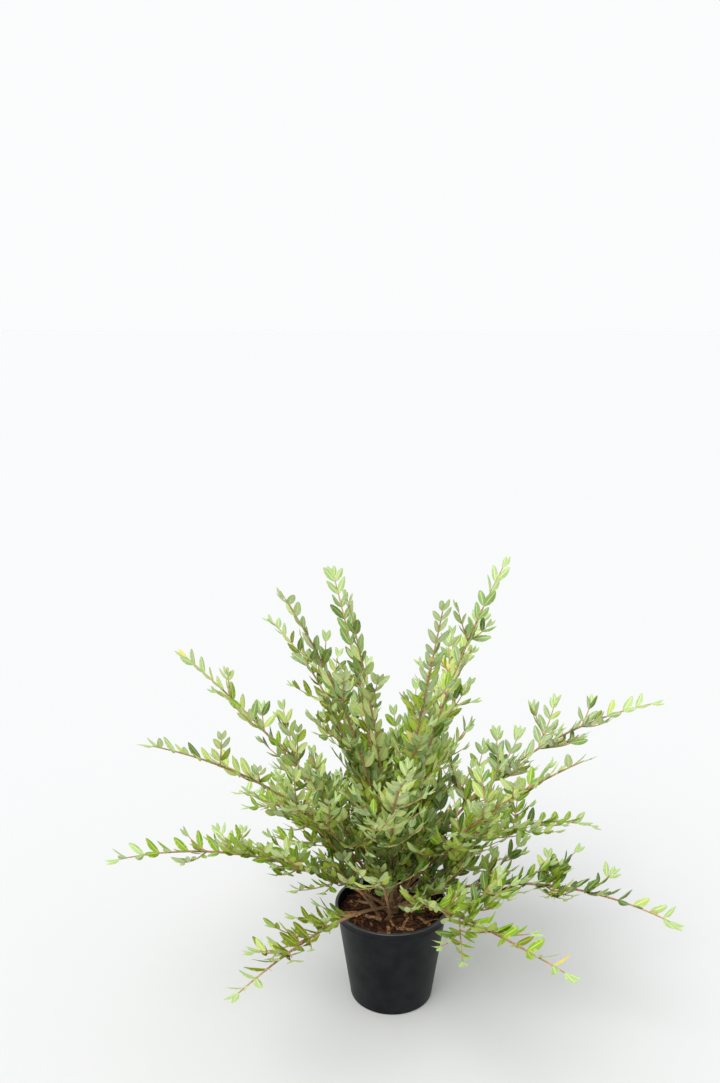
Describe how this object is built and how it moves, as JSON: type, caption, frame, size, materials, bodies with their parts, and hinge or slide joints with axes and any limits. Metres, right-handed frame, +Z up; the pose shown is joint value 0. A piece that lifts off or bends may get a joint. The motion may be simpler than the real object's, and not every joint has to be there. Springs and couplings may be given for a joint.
{
  "type": "potted privet honeysuckle shrub",
  "caption": "Young evergreen shrub in a round black nursery pot: thin brown shoots fan out of a short root crown and carry small paired oval leaves.",
  "frame": {"origin": "middle of the pot's flat underside", "axes": "+Z up along the pot's axis, -Y towards the front, as the picture shows the plant"},
  "size_m": [0.6005, 0.5755, 0.4934],
  "materials": {
    "pot_plastic": "black moulded nursery pot, slight satin sheen, paler at the rim edges",
    "medium": "moist composted bark and coir fibre, dark reddish brown with a few pale chips",
    "bark": "thin brown to purplish young bark, matte, paler on older wood",
    "leaf": "small leathery evergreen leaves, glossy mid green above and paler beneath"
  },
  "bodies": {
    "root": {"pot": "pot_plastic", "growing_medium": "medium", "root_crown": "bark", "bough_leader": "bark", "bough_upright_1": "bark", "bough_upright_2": "bark", "bough_upright_3": "bark", "bough_upright_4": "bark", "bough_arching_1": "bark", "bough_arching_2": "bark", "bough_arching_3": "bark", "bough_arching_4": "bark", "bough_arching_5": "bark", "bough_arching_6": "bark", "bough_arching_7": "bark", "bough_spreading_1": "bark", "bough_spreading_2": "bark", "bough_spreading_3": "bark", "bough_spreading_4": "bark", "bough_spreading_5": "bark", "bough_spreading_6": "bark", "bough_spreading_7": "bark", "bough_inner_1": "bark", "bough_inner_2": "bark", "bough_inner_3": "bark", "bough_inner_4": "bark", "bough_inner_5": "bark", "bough_inner_6": "bark", "bough_inner_7": "bark", "foliage_leader": "leaf", "foliage_upright_1": "leaf", "foliage_upright_2": "leaf", "foliage_upright_3": "leaf", "foliage_upright_4": "leaf", "foliage_arching_1": "leaf", "foliage_arching_2": "leaf", "foliage_arching_3": "leaf", "foliage_arching_4": "leaf", "foliage_arching_5": "leaf", "foliage_arching_6": "leaf", "foliage_arching_7": "leaf", "foliage_spreading_1": "leaf", "foliage_spreading_2": "leaf", "foliage_spreading_3": "leaf", "foliage_spreading_4": "leaf", "foliage_spreading_5": "leaf", "foliage_spreading_6": "leaf", "foliage_spreading_7": "leaf", "foliage_inner_1": "leaf", "foliage_inner_2": "leaf", "foliage_inner_3": "leaf", "foliage_inner_4": "leaf", "foliage_inner_5": "leaf", "foliage_inner_6": "leaf", "foliage_inner_7": "leaf"}
  },
  "joints": []
}
